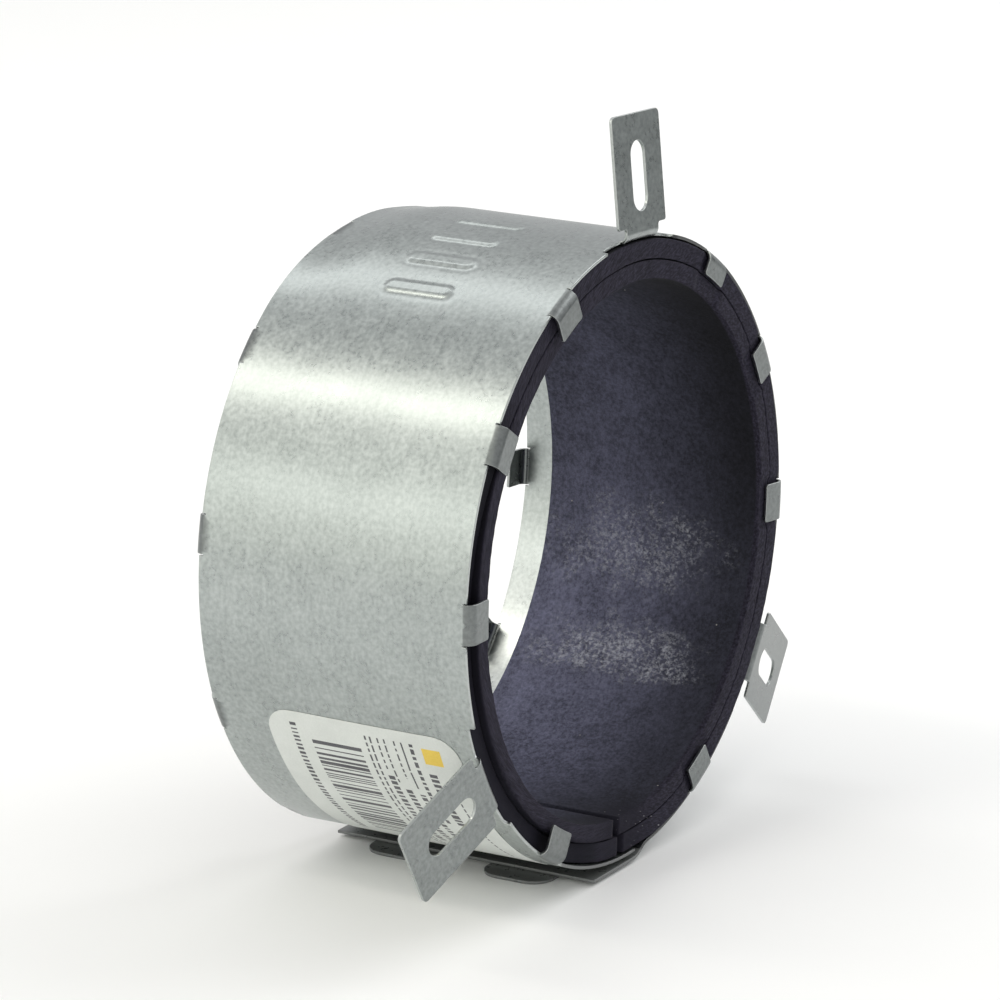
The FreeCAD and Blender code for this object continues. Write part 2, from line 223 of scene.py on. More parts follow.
# Rows of printed dashes: x, height, last and first place down the label, longest dash
PRINTED_ROWS = [
    (-45.2, 1.5, 46, 3, 0.9), (-27.6, 0.45, 52, 3, 2.2), (-26.4, 0.45, 50, 3, 2.2),
    (-24.6, 0.4, 12, 3, 2.0), (-23.0, 0.4, 16, 3, 2.0), (-24.4, 1.5, 44, 14, 1.3),
    (-21.6, 1.5, 46, 18, 1.3), (-20.6, 0.4, 14, 3, 2.0), (-18.9, 0.4, 17, 3, 9.0),
    (-18.6, 1.3, 40, 19, 1.3), (-16.6, 0.9, 30, 3, 1.6), (-13.4, 1.9, 30, 11, 1.6),
    (-9.6, 0.4, 48, 12, 2.0),
]


def smooth(value, low, high):
    """From 0 at low to 1 at high, with soft ends."""
    share = np.clip((value - low) / (high - low), 0, 1)
    return share * share * (3 - 2 * share)


def window(value, start, full, still_full, end):
    """From 0 up to 1 and down to 0 again, with soft ends."""
    return smooth(value, start, full) * (1 - smooth(value, still_full, end))


def cosd(angle):
    return math.cos(math.radians(angle))


def sind(angle):
    return math.sin(math.radians(angle))


def legs_of(start, heading, moves):
    """A bent line in legs of (length, start, heading, radius), where a left turn is positive."""
    legs = []
    point, heading = tuple(start), math.radians(heading)
    for move in moves:
        if move[0] == "run":
            length, radius = move[1], 0.0
            end = (point[0] + length * math.cos(heading), point[1] + length * math.sin(heading))
            turn = 0.0
        else:
            turn = math.radians(move[2])
            radius = math.copysign(move[1], turn)
            length = radius * turn
            end = (point[0] + radius * (math.sin(heading + turn) - math.sin(heading)),
                   point[1] - radius * (math.cos(heading + turn) - math.cos(heading)))
        legs.append((length, point, heading, radius))
        point, heading = end, heading + turn
    return legs


def along(legs, distance):
    """Points and headings at distances along a bent line. It runs on straight at its start."""
    point = np.zeros((len(distance), 2))
    heading = np.zeros(len(distance))
    first = 0.0
    for index, (length, start, head, radius) in enumerate(legs):
        here = distance >= first
        if index == 0:
            here = np.ones(len(distance), bool)
        travel = distance[here] - first
        straight = (travel < 0) | (radius == 0)
        bend = radius or 1.0
        angle = np.where(straight, head, head + travel / bend)
        arc = np.stack([bend * (np.sin(angle) - math.sin(head)),
                        -bend * (np.cos(angle) - math.cos(head))], 1)
        line = travel[:, None] * np.array([math.cos(head), math.sin(head)])
        point[here] = np.array(start) + np.where(straight[:, None], line, arc)
        heading[here] = angle
        first += length
    return point, heading


def strip_legs():
    """The strip edge on in (y, z), from its inner end round the ring to the flap's edge."""
    entry = STEP_START_ANGLE - 270
    drop = -MIDDLE * cosd(entry) - FLAP_Z
    steepest = math.degrees(math.acos((1 + cosd(entry) - drop / STEP_BEND_RADIUS) / 2))
    end_y = MIDDLE * cosd(STEP_START_ANGLE) - STEP_BEND_RADIUS * (2 * sind(steepest) - sind(entry))
    start = (MIDDLE * cosd(INNER_END_ANGLE), MIDDLE * sind(INNER_END_ANGLE))
    return legs_of(start, INNER_END_ANGLE - 90, [
        ("bend", MIDDLE, -(360 - STEP_START_ANGLE + INNER_END_ANGLE)),
        ("bend", STEP_BEND_RADIUS, steepest - entry),
        ("bend", STEP_BEND_RADIUS, -steepest),
        ("run", end_y - FLAP_EDGE_Y),
    ])


def tongue_legs():
    """A tongue edge on in (y, z), from the inner end down and back under the flap."""
    rise = INNER_END_ANGLE - 270
    start = (MIDDLE * cosd(INNER_END_ANGLE), MIDDLE * sind(INNER_END_ANGLE))
    radius = (start[1] - TONGUE_Z) / (1 + cosd(rise))
    fold_end = start[0] + radius * sind(rise)
    return legs_of(start, rise, [
        ("bend", radius, -(180 + rise)), ("run", fold_end - TONGUE_TIP_Y)])


STRIP = strip_legs()
TONGUE = tongue_legs()
ROUND_END = STRIP[0][0]
STEP_END = ROUND_END + STRIP[1][0] + STRIP[2][0]
STRIP_END = STEP_END + STRIP[3][0]
TONGUE_FOLD = TONGUE[0][0]
TONGUE_END = TONGUE_FOLD + TONGUE[1][0]
TONGUE_MIDDLES = [BACK_X / 2 + side * TONGUE_SPACING / 2 for side in (1, -1)]


def u_at(angle):
    """Place along the strip of an angle about the axis, in degrees."""
    return math.radians((INNER_END_ANGLE - angle) % 360) * MIDDLE


def make_features():
    """Tabs and lugs: where they are in the flat pattern, and how they are bent."""
    features = []
    rows = ((False, FRONT_TAB_ANGLES, TAB_WIDTH), (True, BACK_TAB_ANGLES, BACK_TAB_WIDTH))
    for back, angles, width in rows:
        for angle in angles:
            turn = 90 + random.uniform(0, TAB_EXTRA_BEND)
            start_x = TAB_PROUD - SHEET / 2 - TAB_BEND_RADIUS
            straight = MIDDLE - TAB_BEND_RADIUS - (RING_OUTER_RADIUS - TAB_REACH)
            straight -= TAB_SHORTFALLS.get(angle, 0.0)
            moves = [("bend", TAB_BEND_RADIUS, -turn), ("run", straight)]
            legs = legs_of((start_x, MIDDLE), 0, moves)
            features.append({
                "kind": "tab", "angle": angle, "u": u_at(angle), "back": back, "legs": legs,
                "half": width / 2, "zone": (width + TAB_RELIEF_WIDTH) / 2,
                "start": start_x, "bend": legs[0][0], "tip": start_x + legs[0][0] + straight,
                "tone": TAB_TONE,
            })
    for angle, lean, tone in zip(LUG_ANGLES, LUG_LEANS, LUG_TONES):
        moves = [("bend", LUG_BEND_RADIUS, 90 + lean), ("run", LUG_RUN)]
        legs = legs_of((-LUG_RELIEF_DEPTH, MIDDLE), 0, moves)
        bend_end = legs[1][1]

        def flat(radius):
            return -LUG_RELIEF_DEPTH + legs[0][0] + (radius - bend_end[1]) / cosd(lean)

        slot_top = RING_OUTER_RADIUS + LUG_REACH - LUG_SLOT_TIP_MARGIN
        features.append({
            "kind": "lug", "angle": angle, "u": u_at(angle), "back": False, "legs": legs,
            "half": LUG_WIDTH / 2, "zone": LUG_WIDTH / 2 + 2.0, "tone": tone,
            "start": -LUG_RELIEF_DEPTH, "bend": legs[0][0],
            "tip": flat(RING_OUTER_RADIUS + LUG_REACH),
            "shoulder": flat(RING_OUTER_RADIUS + LUG_NECK_LENGTH),
            "slot": (flat(slot_top - LUG_SLOT_LENGTH), flat(slot_top)),
        })
    return features


FEATURES = make_features()


def beyond(feature, v):
    """Distance of flat places past the line where a feature's bend begins."""
    return BACK_X - v - feature["start"] if feature["back"] else v - feature["start"]


def region(u, v):
    """The number of the feature that each flat place lies on, or -1 on the strip."""
    found = np.full(len(u), -1)
    for index, feature in enumerate(FEATURES):
        inside = (beyond(feature, v) > 1e-6) & (np.abs(u - feature["u"]) < feature["zone"])
        found[inside] = index
    return found


def dent(u, v):
    """How far the top of the back rim is pushed in at flat places."""
    angle = INNER_END_ANGLE - np.degrees(u / MIDDLE)
    depth = -np.maximum(v, BACK_X + DENT_RIM_WIDTH)
    return BACK_DENT * window(angle, *DENT_WINDOW) * smooth(depth, *DENT_DEPTHS)


def place(u, v, part):
    """The sheet's middle and its outward normal at flat places."""
    point, heading = along(STRIP, u)
    folded = u < 0
    under, under_heading = along(TONGUE, -u)
    point[folded] = under[folded]
    heading[folded] = under_heading[folded] + math.pi
    middle = np.column_stack([v, point])
    normal = np.column_stack([np.zeros(len(u)), -np.sin(heading), np.cos(heading)])
    middle -= normal * dent(u, v)[:, None]
    for index, feature in enumerate(FEATURES):
        mine = part == index
        if not mine.any():
            continue
        distance = beyond(feature, v[mine])
        at, slope = along(feature["legs"], distance)
        side = -1.0 if feature["back"] else 1.0
        turn = -(u[mine] - feature["u"]) / MIDDLE
        hold = np.ones(len(turn))
        if feature["kind"] == "lug":
            hold = 1 - smooth(distance, 0, feature["bend"] + 1.0)
        outward = np.array([0, cosd(feature["angle"]), sind(feature["angle"])])
        sideways = np.array([0, -sind(feature["angle"]), cosd(feature["angle"])])
        radial = at[:, 1] - hold * MIDDLE * (1 - np.cos(turn))
        radial -= dent(u[mine], v[mine])
        across = MIDDLE * np.sin(turn)
        x = at[:, 0] if side > 0 else BACK_X - at[:, 0]
        middle[mine] = (x[:, None] * np.array([1, 0, 0]) + radial[:, None] * outward
                        + across[:, None] * sideways)
        tilt = hold * turn
        upright = np.cos(tilt)[:, None] * outward + np.sin(tilt)[:, None] * sideways
        normal[mine] = ((-side * np.sin(slope))[:, None] * np.array([1, 0, 0])
                        + np.cos(slope)[:, None] * upright)
    return middle, normal


# Waves of the sheet: how fast each turns along u and v, its phase and its height
WAVES = [
    (2 * math.pi / random.uniform(20, 70),
     2 * math.pi / random.uniform(25, 90) * random.choice([-1, 1]),
     random.uniform(0, 2 * math.pi), random.uniform(0.006, 0.016))
    for _ in range(WAVE_COUNT)
]


def height(u, v):
    """How far the sheet stands off its nominal place: slight waves and the pressed bars."""
    rise = np.zeros(len(u))
    for along_u, along_v, phase, size in WAVES:
        rise += size * np.sin(along_u * u + along_v * v + phase)
    rise *= smooth(u, *WAVE_END_FADE) * smooth(ROUND_END - u, *WAVE_END_FADE)
    rise *= smooth(-v, *WAVE_RIM_FADE) * smooth(v - BACK_X, *WAVE_RIM_FADE)
    for angle in BAR_ANGLES:
        half = BAR_WIDTH / 2
        middle_x = BAR_START_X + BAR_LENGTH / 2
        past = np.maximum(np.abs(v - middle_x) - (BAR_LENGTH / 2 - half), 0)
        away = np.hypot(u - u_at(angle), past)
        rise += BAR_SHOWN_HEIGHT * smooth(half - away, 0.0, BAR_FLANK)
        outside = (away - half - BAR_GROOVE_GAP) / BAR_GROOVE_WIDTH
        rise -= BAR_GROOVE_DEPTH * np.exp(-outside ** 2)
    return rise


def surface(u, v, part, lift=0.0):
    """Points a lift above the sheet's middle, with unit normals and the two flat directions."""
    step = 0.01

    def at(du, dv):
        middle, normal = place(u + du, v + dv, part)
        return middle + normal * (height(u + du, v + dv) + lift)[:, None]

    along_u = (at(step, 0) - at(-step, 0)) / (2 * step)
    along_v = (at(0, step) - at(0, -step)) / (2 * step)
    normal = np.cross(along_v, along_u)
    normal /= np.linalg.norm(normal, axis=1)[:, None]
    return at(0, 0), normal, along_u, along_v


def with_fillets(corners):
    """Flat points of a closed line from corners (u, v, radius)."""
    points = []
    for index, (u, v, radius) in enumerate(corners):
        corner = np.array([u, v])
        if radius == 0:
            points.append(corner)
            continue
        before = np.array(corners[index - 1][:2]) - corner
        after = np.array(corners[(index + 1) % len(corners)][:2]) - corner
        before /= np.linalg.norm(before)
        after /= np.linalg.norm(after)
        half = math.acos(np.clip(before @ after, -1, 1)) / 2
        bisector = (before + after) / np.linalg.norm(before + after)
        centre = corner + bisector * radius / math.sin(half)
        start = corner + before * radius / math.tan(half) - centre
        end = corner + after * radius / math.tan(half) - centre
        sweep = math.atan2(start[0] * end[1] - start[1] * end[0], start @ end)
        count = max(3, round(abs(math.degrees(sweep)) / 12))
        for share in np.linspace(0, 1, count + 1):
            turn = share * sweep
            c, s = math.cos(turn), math.sin(turn)
            turned = [c * start[0] - s * start[1], s * start[0] + c * start[1]]
            points.append(centre + np.array(turned))
    return points


def spacing(point, direction):
    """How far apart the points of a cut edge may be, finer where the sheet is bent."""
    u, v = point
    if abs(direction[1]) > abs(direction[0]):
        if u > 0 and (-1.6 < v < 3.4 or BACK_X - 3.4 < v < BACK_X + 1.6):
            return 0.3
        return 2.0
    if -TONGUE_FOLD - 0.3 < u < 0.3:
        return 0.2
    if ROUND_END - 1 < u < STEP_END + 1:
        return 0.5
    return 1.8


def divided(points):
    """A closed flat line with extra points along its long runs."""
    made = []
    for index, point in enumerate(points):
        after = points[(index + 1) % len(points)]
        gap = after - point
        length = np.linalg.norm(gap)
        if length < 1e-9:
            continue
        count = max(1, math.ceil(length / spacing((point + after) / 2, gap)))
        for step in range(count):
            made.append(point + gap * step / count)
    return np.array(made)


def housing_outline():
    """Corners of the strip's flat pattern, anticlockwise."""
    corners = [(0, BACK_X, 0)]
    back = sorted((f for f in FEATURES if f["back"]), key=lambda f: f["u"])
    front = sorted((f for f in FEATURES if not f["back"]), key=lambda f: -f["u"])

    def add(feature, rows, sign):
        for offset, v, radius in rows:
            v = BACK_X - v if feature["back"] else v
            corners.append((feature["u"] + sign * offset, v, radius))

    def tab_rows(feature):
        half, start, tip = feature["half"], feature["start"], feature["tip"]
        gap = half + TAB_RELIEF_WIDTH
        return [
            (-gap, 0, 0), (-gap, start, 0), (-half, start, 0), (-half, tip, TAB_CORNER_RADIUS),
            (half, tip, TAB_CORNER_RADIUS), (half, start, 0), (gap, start, 0), (gap, 0, 0)]

    def lug_rows(feature):
        neck = LUG_NECK_WIDTH / 2
        notch = neck + LUG_RELIEF_WIDTH
        half, tip, shoulder = feature["half"], feature["tip"], feature["shoulder"]
        round_neck = min(LUG_CORNER_RADIUS, half - neck) / 2
        left = [
            (-notch, 0, 0), (-notch, -LUG_RELIEF_DEPTH, LUG_RELIEF_DEPTH * 0.6),
            (-neck, -LUG_RELIEF_DEPTH, 0), (-neck, shoulder, round_neck),
            (-half, shoulder, round_neck), (-half, tip, LUG_CORNER_RADIUS)]
        return left + [(-offset, v, radius) for offset, v, radius in left[::-1]]

    for feature in back:
        add(feature, tab_rows(feature), 1)
    corners += [(STRIP_END, BACK_X, 0), (STRIP_END, 0, 0)]
    for feature in front:
        rows_of = tab_rows if feature["kind"] == "tab" else lug_rows
        add(feature, rows_of(feature), -1)
    corners.append((0, 0, 0))
    for middle in TONGUE_MIDDLES:
        half = TONGUE_WIDTH / 2
        corners += [
            (0, middle + half, 0), (-TONGUE_END, middle + half, TONGUE_CORNER_RADIUS),
            (-TONGUE_END, middle - half, TONGUE_CORNER_RADIUS), (0, middle - half, 0)]
    return corners


def strip_place(y):
    """Place along the strip, past the ring, where its middle has this y."""
    u = np.linspace(ROUND_END, STRIP_END, 4000)
    point, _ = along(STRIP, u)
    return float(np.interp(-y, -point[:, 0], u))


def housing_holes():
    """Corners of the holes in the strip, clockwise."""
    holes = []
    for feature in FEATURES:
        if feature["kind"] == "lug":
            low, high = feature["slot"]
            half = LUG_SLOT_WIDTH / 2
            u = feature["u"]
            holes.append([(u - half, low, half * 0.999), (u - half, high, half * 0.999),
                          (u + half, high, half * 0.999), (u + half, low, half * 0.999)])
    start_y = MIDDLE * cosd(INNER_END_ANGLE)
    near, far = strip_place(start_y + TONGUE_SLOT_LENGTH), strip_place(start_y)
    for middle in TONGUE_MIDDLES:
        half = TONGUE_WIDTH / 2 + TONGUE_SLOT_CLEARANCE
        holes.append([(near, middle - half, 0), (near, middle + half, 0),
                      (far, middle + half, 0), (far, middle - half, 0)])
    return holes


def grid(u_from, u_to, u_step, v_from, v_to, v_step, clear):
    """Points of a flat grid, with how far each keeps from the cut edges."""
    us = np.linspace(u_from, u_to, max(2, round((u_to - u_from) / u_step) + 1))
    vs = np.linspace(v_from, v_to, max(2, round((v_to - v_from) / v_step) + 1))
    a, b = np.meshgrid(us, vs, indexing="ij")
    return np.column_stack([a.ravel(), b.ravel(), np.full(a.size, clear)])


def housing_points():
    """Flat points inside the strip's pattern, denser where it is bent or pressed."""
    ring = grid(0, ROUND_END - 1.5, 2.0, BACK_X, 0, 2.6, 0.9)
    bars = (u_at(BAR_ANGLES[-1]) - BAR_WIDTH / 2 - 2, u_at(BAR_ANGLES[0]) + BAR_WIDTH / 2 + 2)
    ends = (BAR_START_X - 1.6, BAR_START_X + BAR_LENGTH + 1.6)
    inside = (ring[:, 0] > bars[0]) & (ring[:, 0] < bars[1])
    inside &= (ring[:, 1] > ends[0]) & (ring[:, 1] < ends[1])
    parts = [
        ring[~inside],
        grid(bars[0] + 0.2, bars[1] - 0.2, 0.42, ends[0] + 0.2, ends[1] - 0.2, 0.42, 0.2),
        grid(ROUND_END - 1, STEP_END + 1, 0.5, BACK_X + 0.8, -0.8, 2.6, 0.4),
        grid(STEP_END + 2.5, STRIP_END - 1, 2.5, BACK_X + 1, -1, 2.6, 0.6),
    ]
    for middle in TONGUE_MIDDLES:
        low, high = middle - TONGUE_WIDTH / 2 + 0.9, middle + TONGUE_WIDTH / 2 - 0.9
        parts.append(grid(-TONGUE_FOLD, 0.2, 0.25, low, high, 2.0, 0.2))
        parts.append(grid(-TONGUE_END + 0.8, -TONGUE_FOLD - 1, 2.0, low, high, 2.0, 0.6))
    for feature in FEATURES:
        start, bend_end, tip = feature["start"], feature["start"] + feature["bend"], feature["tip"]
        half = feature["half"] - 0.8
        if feature["kind"] == "lug":
            half = LUG_NECK_WIDTH / 2 - 0.8
        blocks = [grid(feature["u"] - half, feature["u"] + half, 1.4, start, bend_end, 0.3, 0.25)]
        if feature["kind"] == "lug":
            half = feature["half"] - 0.8
        sides = (feature["u"] - half, feature["u"] + half)
        blocks.append(grid(*sides, 1.6, bend_end + 0.8, tip - 0.8, 1.6, 0.7))
        for block in blocks:
            if feature["back"]:
                block[:, 1] = BACK_X - block[:, 1]
            parts.append(block)
    return np.vstack(parts)


def inside_of(points, loops):
    """Which points lie inside closed flat lines, by counting crossings."""
    inside = np.zeros(len(points), bool)
    x, y = points[:, 0], points[:, 1]
    for loop in loops:
        for (ax, ay), (bx, by) in zip(loop, np.roll(loop, -1, 0)):
            if ay == by:
                continue
            crosses = (ay > y) != (by > y)
            inside ^= crosses & (x < ax + (y - ay) * (bx - ax) / (by - ay))
    return inside


def clear_of(points, loops):
    """Points (u, v, clearance) that keep their clearance from the lines' points."""
    edge = np.vstack(loops)
    keep = np.ones(len(points), bool)
    for index in range(0, len(points), 500):
        block = points[index:index + 500]
        gap = block[:, None, :2] - edge[None]
        keep[index:index + 500] = np.hypot(gap[..., 0], gap[..., 1]).min(1) > block[:, 2]
    return points[keep]


def mitres(loop):
    """Flat steps away from the material at the points of a line with material on its left."""
    ahead = np.roll(loop, -1, 0) - loop
    ahead /= np.linalg.norm(ahead, axis=1)[:, None]
    right = np.column_stack([ahead[:, 1], -ahead[:, 0]])
    before = np.roll(right, 1, 0)
    return (right + before) / np.maximum(1 + (right * before).sum(1), 0.35)[:, None]


def add_object(name, data):
    """A new object in the scene."""
    made = bpy.data.objects.new(name, data)
    bpy.context.scene.collection.objects.link(made)
    return made


def finish_mesh(name, points, faces, materials, flat, marks, normals=None):
    """A piece from points in millimetres, smooth shaded, with what its materials read."""
    mesh = bpy.data.meshes.new(name)
    mesh.from_pydata((np.asarray(points) * MM).tolist(), [], faces)
    mesh.polygons.foreach_set("use_smooth", np.ones(len(mesh.polygons), bool))
    layer = mesh.attributes.new("flat", "FLOAT_VECTOR", "POINT")
    layer.data.foreach_set("vector", np.asarray(flat, np.float32).ravel())
    for key, values in marks.items():
        layer = mesh.attributes.new(key, "FLOAT", "POINT")
        layer.data.foreach_set("value", np.asarray(values, np.float32))
    mesh.validate()
    mesh.update()
    if normals is not None:
        mesh.normals_split_custom_set_from_vertices(np.asarray(normals).tolist())
    for material in materials:
        mesh.materials.append(material)
    return add_object(name, mesh)


def on_closure(u):
    """Which flat places lie on the tongues or the flap."""
    return (u < -0.2) | (u > ROUND_END + 3)


def tone_of(part, u):
    """How dark the steel is painted: painted dark reflection on tabs and lugs, and painted shade on
    the closure.
    """
    levels = np.array([feature["tone"] for feature in FEATURES] + [0.0])
    return np.where(on_closure(u), FLAP_TONE, levels[part])


def rim_tone(tone, part, u, v):
    """How dark cut edges are painted: painted shade on the wall side's rim on the right and below,
    and on the closure's edges.
    """
    on_rim = (part < 0) & (v > -0.6)
    tone = np.where(on_rim & (u < u_at(LOW_RIM_ANGLE)), LOW_RIM_TONE, tone)
    tone = np.where(on_rim & (u > u_at(SHADED_RIM_ANGLE)), SHADED_RIM_TONE, tone)
    return np.where(on_closure(u), FLAP_EDGE_TONE, tone)


def bent_sheet(name, loops, inner, thickness, edge_round, support, materials, lift=0.0, marks=()):
    """A sheet with rounded edges, laid from its flat pattern onto the part.
    Marks are printed shapes (corners, material number) on its outer face."""
    steps = [mitres(loop) for loop in loops]
    rim = [loop - step * edge_round for loop, step in zip(loops, steps)]
    backing = [loop - step * support for loop, step in zip(loops, steps)]
    coords, edges, starts = [], [], []
    for ring in rim + backing + [np.array(corners) for corners, _ in marks]:
        starts.append(len(coords))
        edges += [(starts[-1] + i, starts[-1] + (i + 1) % len(ring)) for i in range(len(ring))]
        coords += ring.tolist()
    inner = inner[inside_of(inner[:, :2], rim)]
    coords += clear_of(inner, backing)[:, :2].tolist()
    made = delaunay_2d_cdt([Vector(p) for p in coords], edges, [], 0, 1e-5)
    flat = np.array([tuple(p) for p in made[0]])
    faces = np.array(made[2])
    faces = faces[inside_of(flat[faces].mean(1), rim)]
    middles = flat[faces].mean(1)
    target = {}
    for index, given in enumerate(made[3]):
        for source in given:
            target[source] = index
    count = len(flat)
    part = region(flat[:, 0], flat[:, 1])
    at, normal, _, _ = surface(flat[:, 0], flat[:, 1], part, lift)
    points = [at + normal * thickness / 2, at - normal * thickness / 2]
    normals = [normal, -normal]
    flats = [np.column_stack([flat, np.full(count, face)]) for face in (1.0, -1.0)]
    edge_marks = [np.zeros(2 * count)]
    tones = [tone_of(part, flat[:, 0])] * 2
    quads = []
    total = 2 * count
    # Rows of the rounded edge: how far in, how high, and how far its normal leans to a face
    side = edge_round * 0.29
    rows = [(side, thickness / 2 - side, 1), (0, thickness / 2 - edge_round, 0.15),
            (0, -thickness / 2 + edge_round, -0.15), (side, -thickness / 2 + side, -1)]
    for number, (loop, step) in enumerate(zip(loops, steps)):
        size = len(loop)
        top = [target[starts[number] + i] for i in range(size)]
        rings = [top]
        for inset, above, tip in rows:
            where = loop - step * inset
            mine = region(loop[:, 0] - 0.05 * step[:, 0], loop[:, 1] - 0.05 * step[:, 1])
            at, normal, along_u, along_v = surface(where[:, 0], where[:, 1], mine, lift)
            out = step[:, :1] * along_u + step[:, 1:] * along_v
            out /= np.linalg.norm(out, axis=1)[:, None]
            points.append(at + normal * above)
            shown = out + normal * tip
            normals.append(shown / np.linalg.norm(shown, axis=1)[:, None])
            flats.append(np.column_stack([where, np.full(size, above)]))
            edge_marks.append(np.ones(size))
            tones.append(rim_tone(tone_of(mine, loop[:, 0]), mine, loop[:, 0], loop[:, 1]))
            rings.append(list(range(total, total + size)))
            total += size
        rings.append([count + index for index in top])
        for upper, lower in zip(rings, rings[1:]):
            for i in range(size):
                j = (i + 1) % size
                quads.append((upper[i], upper[j], lower[j], lower[i]))
    polygons = [tuple(face[::-1]) for face in faces.tolist()]
    polygons += [tuple(count + index for index in face) for face in faces.tolist()]
    polygons += quads
    read = {"edge": np.concatenate(edge_marks), "tone": np.concatenate(tones)}
    piece = finish_mesh(
        name, np.vstack(points), polygons, materials, np.vstack(flats), read, np.vstack(normals))
    if marks:
        numbers = np.zeros(len(polygons), np.int32)
        for corners, material_number in marks:
            hit = inside_of(middles, [np.array(corners)])
            numbers[:len(faces)][hit] = material_number
        piece.data.polygons.foreach_set("material_index", numbers)
        piece.data.update()
    return piece


def node(tree, kind, inputs=None, **settings):
    """A shader node with its settings and its inputs, each a value or another node's output."""
    made = tree.nodes.new(kind)
    for key, value in settings.items():
        setattr(made, key, value)
    for key, value in (inputs or {}).items():
        if isinstance(value, bpy.types.NodeSocket):
            tree.links.new(value, made.inputs[key])
        else:
            made.inputs[key].default_value = value
    return made


def math_node(tree, operation, *values):
    """A sum or product of values."""
    return node(tree, "ShaderNodeMath", dict(enumerate(values)), operation=operation).outputs[0]


def multiplied(tree, total, *factors):
    """The product of values."""
    for factor in factors:
        total = math_node(tree, "MULTIPLY", total, factor)
    return total


def ramp(tree, value, low, high, to_low=0.0, to_high=1.0):
    """A value taken smoothly from one range to another."""
    made = node(tree, "ShaderNodeMapRange", {0: value, 1: low, 2: high, 3: to_low, 4: to_high},
                interpolation_type="SMOOTHSTEP")
    return made.outputs[0]


def summed(tree, total, *layers):
    """A number and layers of noise (noise, low, high, weight), each taken from 0 to its weight."""
    for value, low, high, weight in layers:
        total = math_node(tree, "MULTIPLY_ADD", ramp(tree, value, low, high), weight, total)
    return total


def mixed(tree, share, first, second):
    """A colour between two others."""
    made = node(tree, "ShaderNodeMix", {0: share, 6: first, 7: second}, data_type="RGBA")
    return made.outputs[2]


def noise_at(tree, where, scale, detail=3.0, rough=0.55, distortion=0.0):
    """Cloudy noise from 0 to 1."""
    made = node(tree, "ShaderNodeTexNoise", {
        "Vector": where, "Scale": scale, "Detail": detail, "Roughness": rough,
        "Distortion": distortion})
    return made.outputs[0]


def spots(tree, where, scale, outside, inside, rarity):
    """Round soft spots in some of the cells of an uneven pattern."""
    cells = node(tree, "ShaderNodeTexVoronoi",
                 {"Vector": where, "Scale": scale, "Randomness": 1.0}, feature="F1").outputs
    chance = node(tree, "ShaderNodeSeparateColor", {0: cells["Color"]}).outputs[0]
    spot = ramp(tree, cells["Distance"], outside, inside)
    return multiplied(tree, spot, math_node(tree, "GREATER_THAN", chance, rarity))


def stretched(tree, where, x, y, z):
    """A place with each of its directions scaled."""
    made = node(tree, "ShaderNodeVectorMath", {0: where, 1: (x, y, z)}, operation="MULTIPLY")
    return made.outputs[0]


def mark_of(tree, name):
    """A number that the mesh has at each point under this name."""
    return node(tree, "ShaderNodeAttribute", attribute_name=name).outputs["Fac"]


def add_bump(tree, shader, height, strength, distance):
    """A fine relief on a material."""
    made = node(tree, "ShaderNodeBump", {
        "Strength": strength, "Distance": distance, "Height": height})
    tree.links.new(made.outputs[0], shader.inputs["Normal"])


def new_material(name):
    """An empty material, its tree and its surface shader."""
    material = bpy.data.materials.new(name)
    material.use_nodes = True
    tree = material.node_tree
    shader = tree.nodes["Principled BSDF"]
    return material, tree, shader


def flat_place(tree):
    """Where a point is in the flat pattern, in millimetres."""
    return node(tree, "ShaderNodeAttribute", attribute_name="flat").outputs["Vector"]


def steel_material():
    """Galvanised sheet: fine zinc grain, soft blotches, rolling streaks and bare cut edges, with
    painted light, painted shade and painted dark reflections.
    """
    material, tree, shader = new_material("galvanised_steel")
    where = flat_place(tree)
    u, v, face = node(tree, "ShaderNodeSeparateXYZ", {0: where}).outputs
    tone, edge = mark_of(tree, "tone"), mark_of(tree, "edge")
    grain = noise_at(tree, where, 0.95, 2.0, 0.55)
    blotch = noise_at(tree, where, 0.22, 4.0, 0.6, 0.6)
    cloud = noise_at(tree, where, 0.045, 2.0, 0.5)
    streak = noise_at(tree, stretched(tree, where, 0.05, 1.1, 1.0), 1.0, 3.0, 0.6)
    total = summed(tree, 0.06, (grain, 0.25, 0.75, 0.50), (blotch, 0.3, 0.7, 0.20),
                   (cloud, 0.3, 0.7, 0.14), (streak, 0.3, 0.7, 0.10))
    # Painted light: the back rim's inside is painted brighter, most of all at the lower right
    back_rim_light = multiplied(tree, ramp(tree, face, 0.0, -1.0), ramp(tree, v, -49.0, -54.0),
                       ramp(tree, u, 320.0, 380.0))
    colour = mixed(tree, back_rim_light, mixed(tree, total, *ZINC), mixed(tree, total, *BACK_RIM_LIT_ZINC))
    # Painted dark reflection on tabs and lugs
    colour = mixed(tree, tone, colour, mixed(tree, total, *DARKENED_ZINC))
    colour = mixed(tree, multiplied(tree, edge, 0.5), colour, CUT_EDGE)
    # Painted shade on the closure under the ring and on the rim
    colour = mixed(tree, ramp(tree, tone, 1.0, 2.0), colour, UNDER_RING_SHADE)
    colour = mixed(tree, ramp(tree, tone, 2.0, 3.0), colour, RIM_SHADE)
    tree.links.new(colour, shader.inputs["Base Color"])
    rough = summed(tree, 0.255, (blotch, 0.3, 0.7, 0.05), (grain, 0.3, 0.7, 0.05))
    tree.links.new(rough, shader.inputs["Roughness"])
    # Less metallic where the painted shade lies
    tree.links.new(ramp(tree, tone, 1.0, 2.0, 1.0, 0.35), shader.inputs["Metallic"])
    add_bump(tree, shader, grain, 0.09, 0.00006)
    return material


